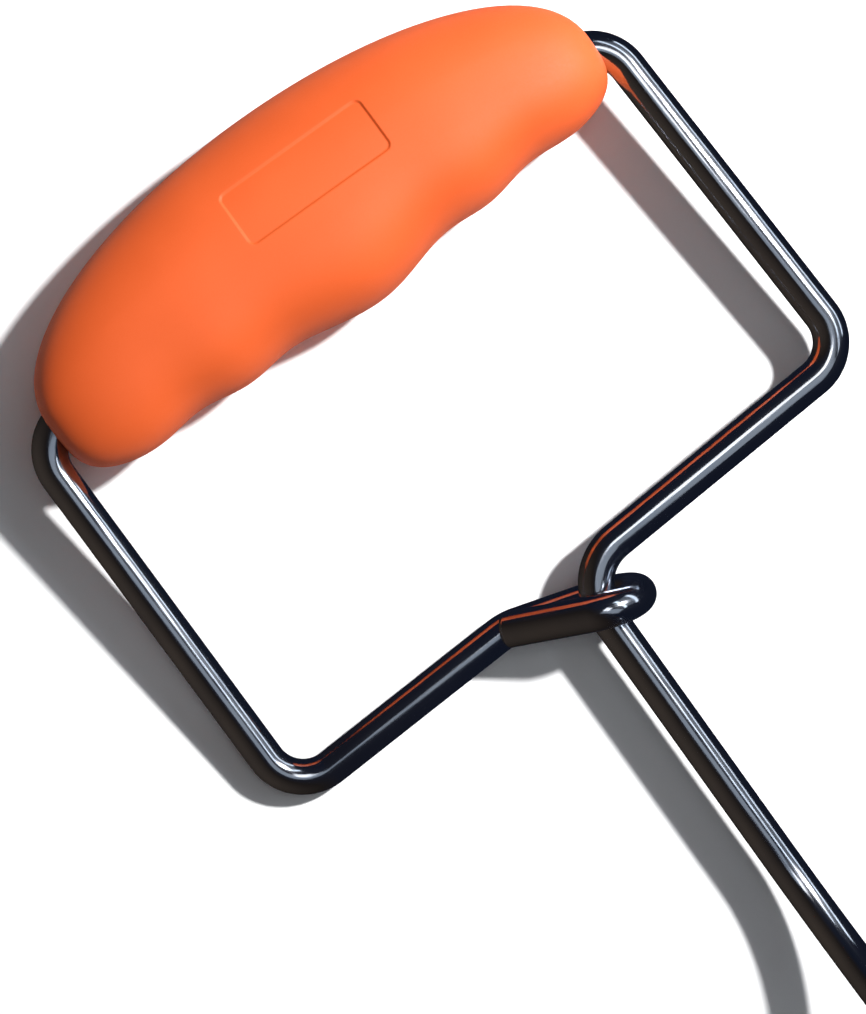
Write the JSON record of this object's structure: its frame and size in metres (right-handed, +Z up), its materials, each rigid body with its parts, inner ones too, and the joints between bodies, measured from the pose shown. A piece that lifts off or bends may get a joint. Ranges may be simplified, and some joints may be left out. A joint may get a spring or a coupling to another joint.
{
  "type": "lifting hook",
  "caption": "Hand lifting hook bent from one chromed steel rod, with a D-shaped handle, a lapped eye round the shank and an orange contoured finger grip.",
  "frame": {"origin": "middle of the bounding box in plan, on the table that the hook lies on", "axes": "+X along the grip, +Y from the hook to the grip, +Z up from the table, the way that the hook curves"},
  "size_m": [0.1304, 0.1978, 0.0897],
  "materials": {
    "rod_chrome": "polished",
    "grip_rubber": "satin",
    "core_plastic": "matte"
  },
  "bodies": {
    "root": {"rod": "rod_chrome", "grip_core_front": "core_plastic", "grip_core_back": "core_plastic", "grip_skin": "grip_rubber"}
  },
  "joints": []
}
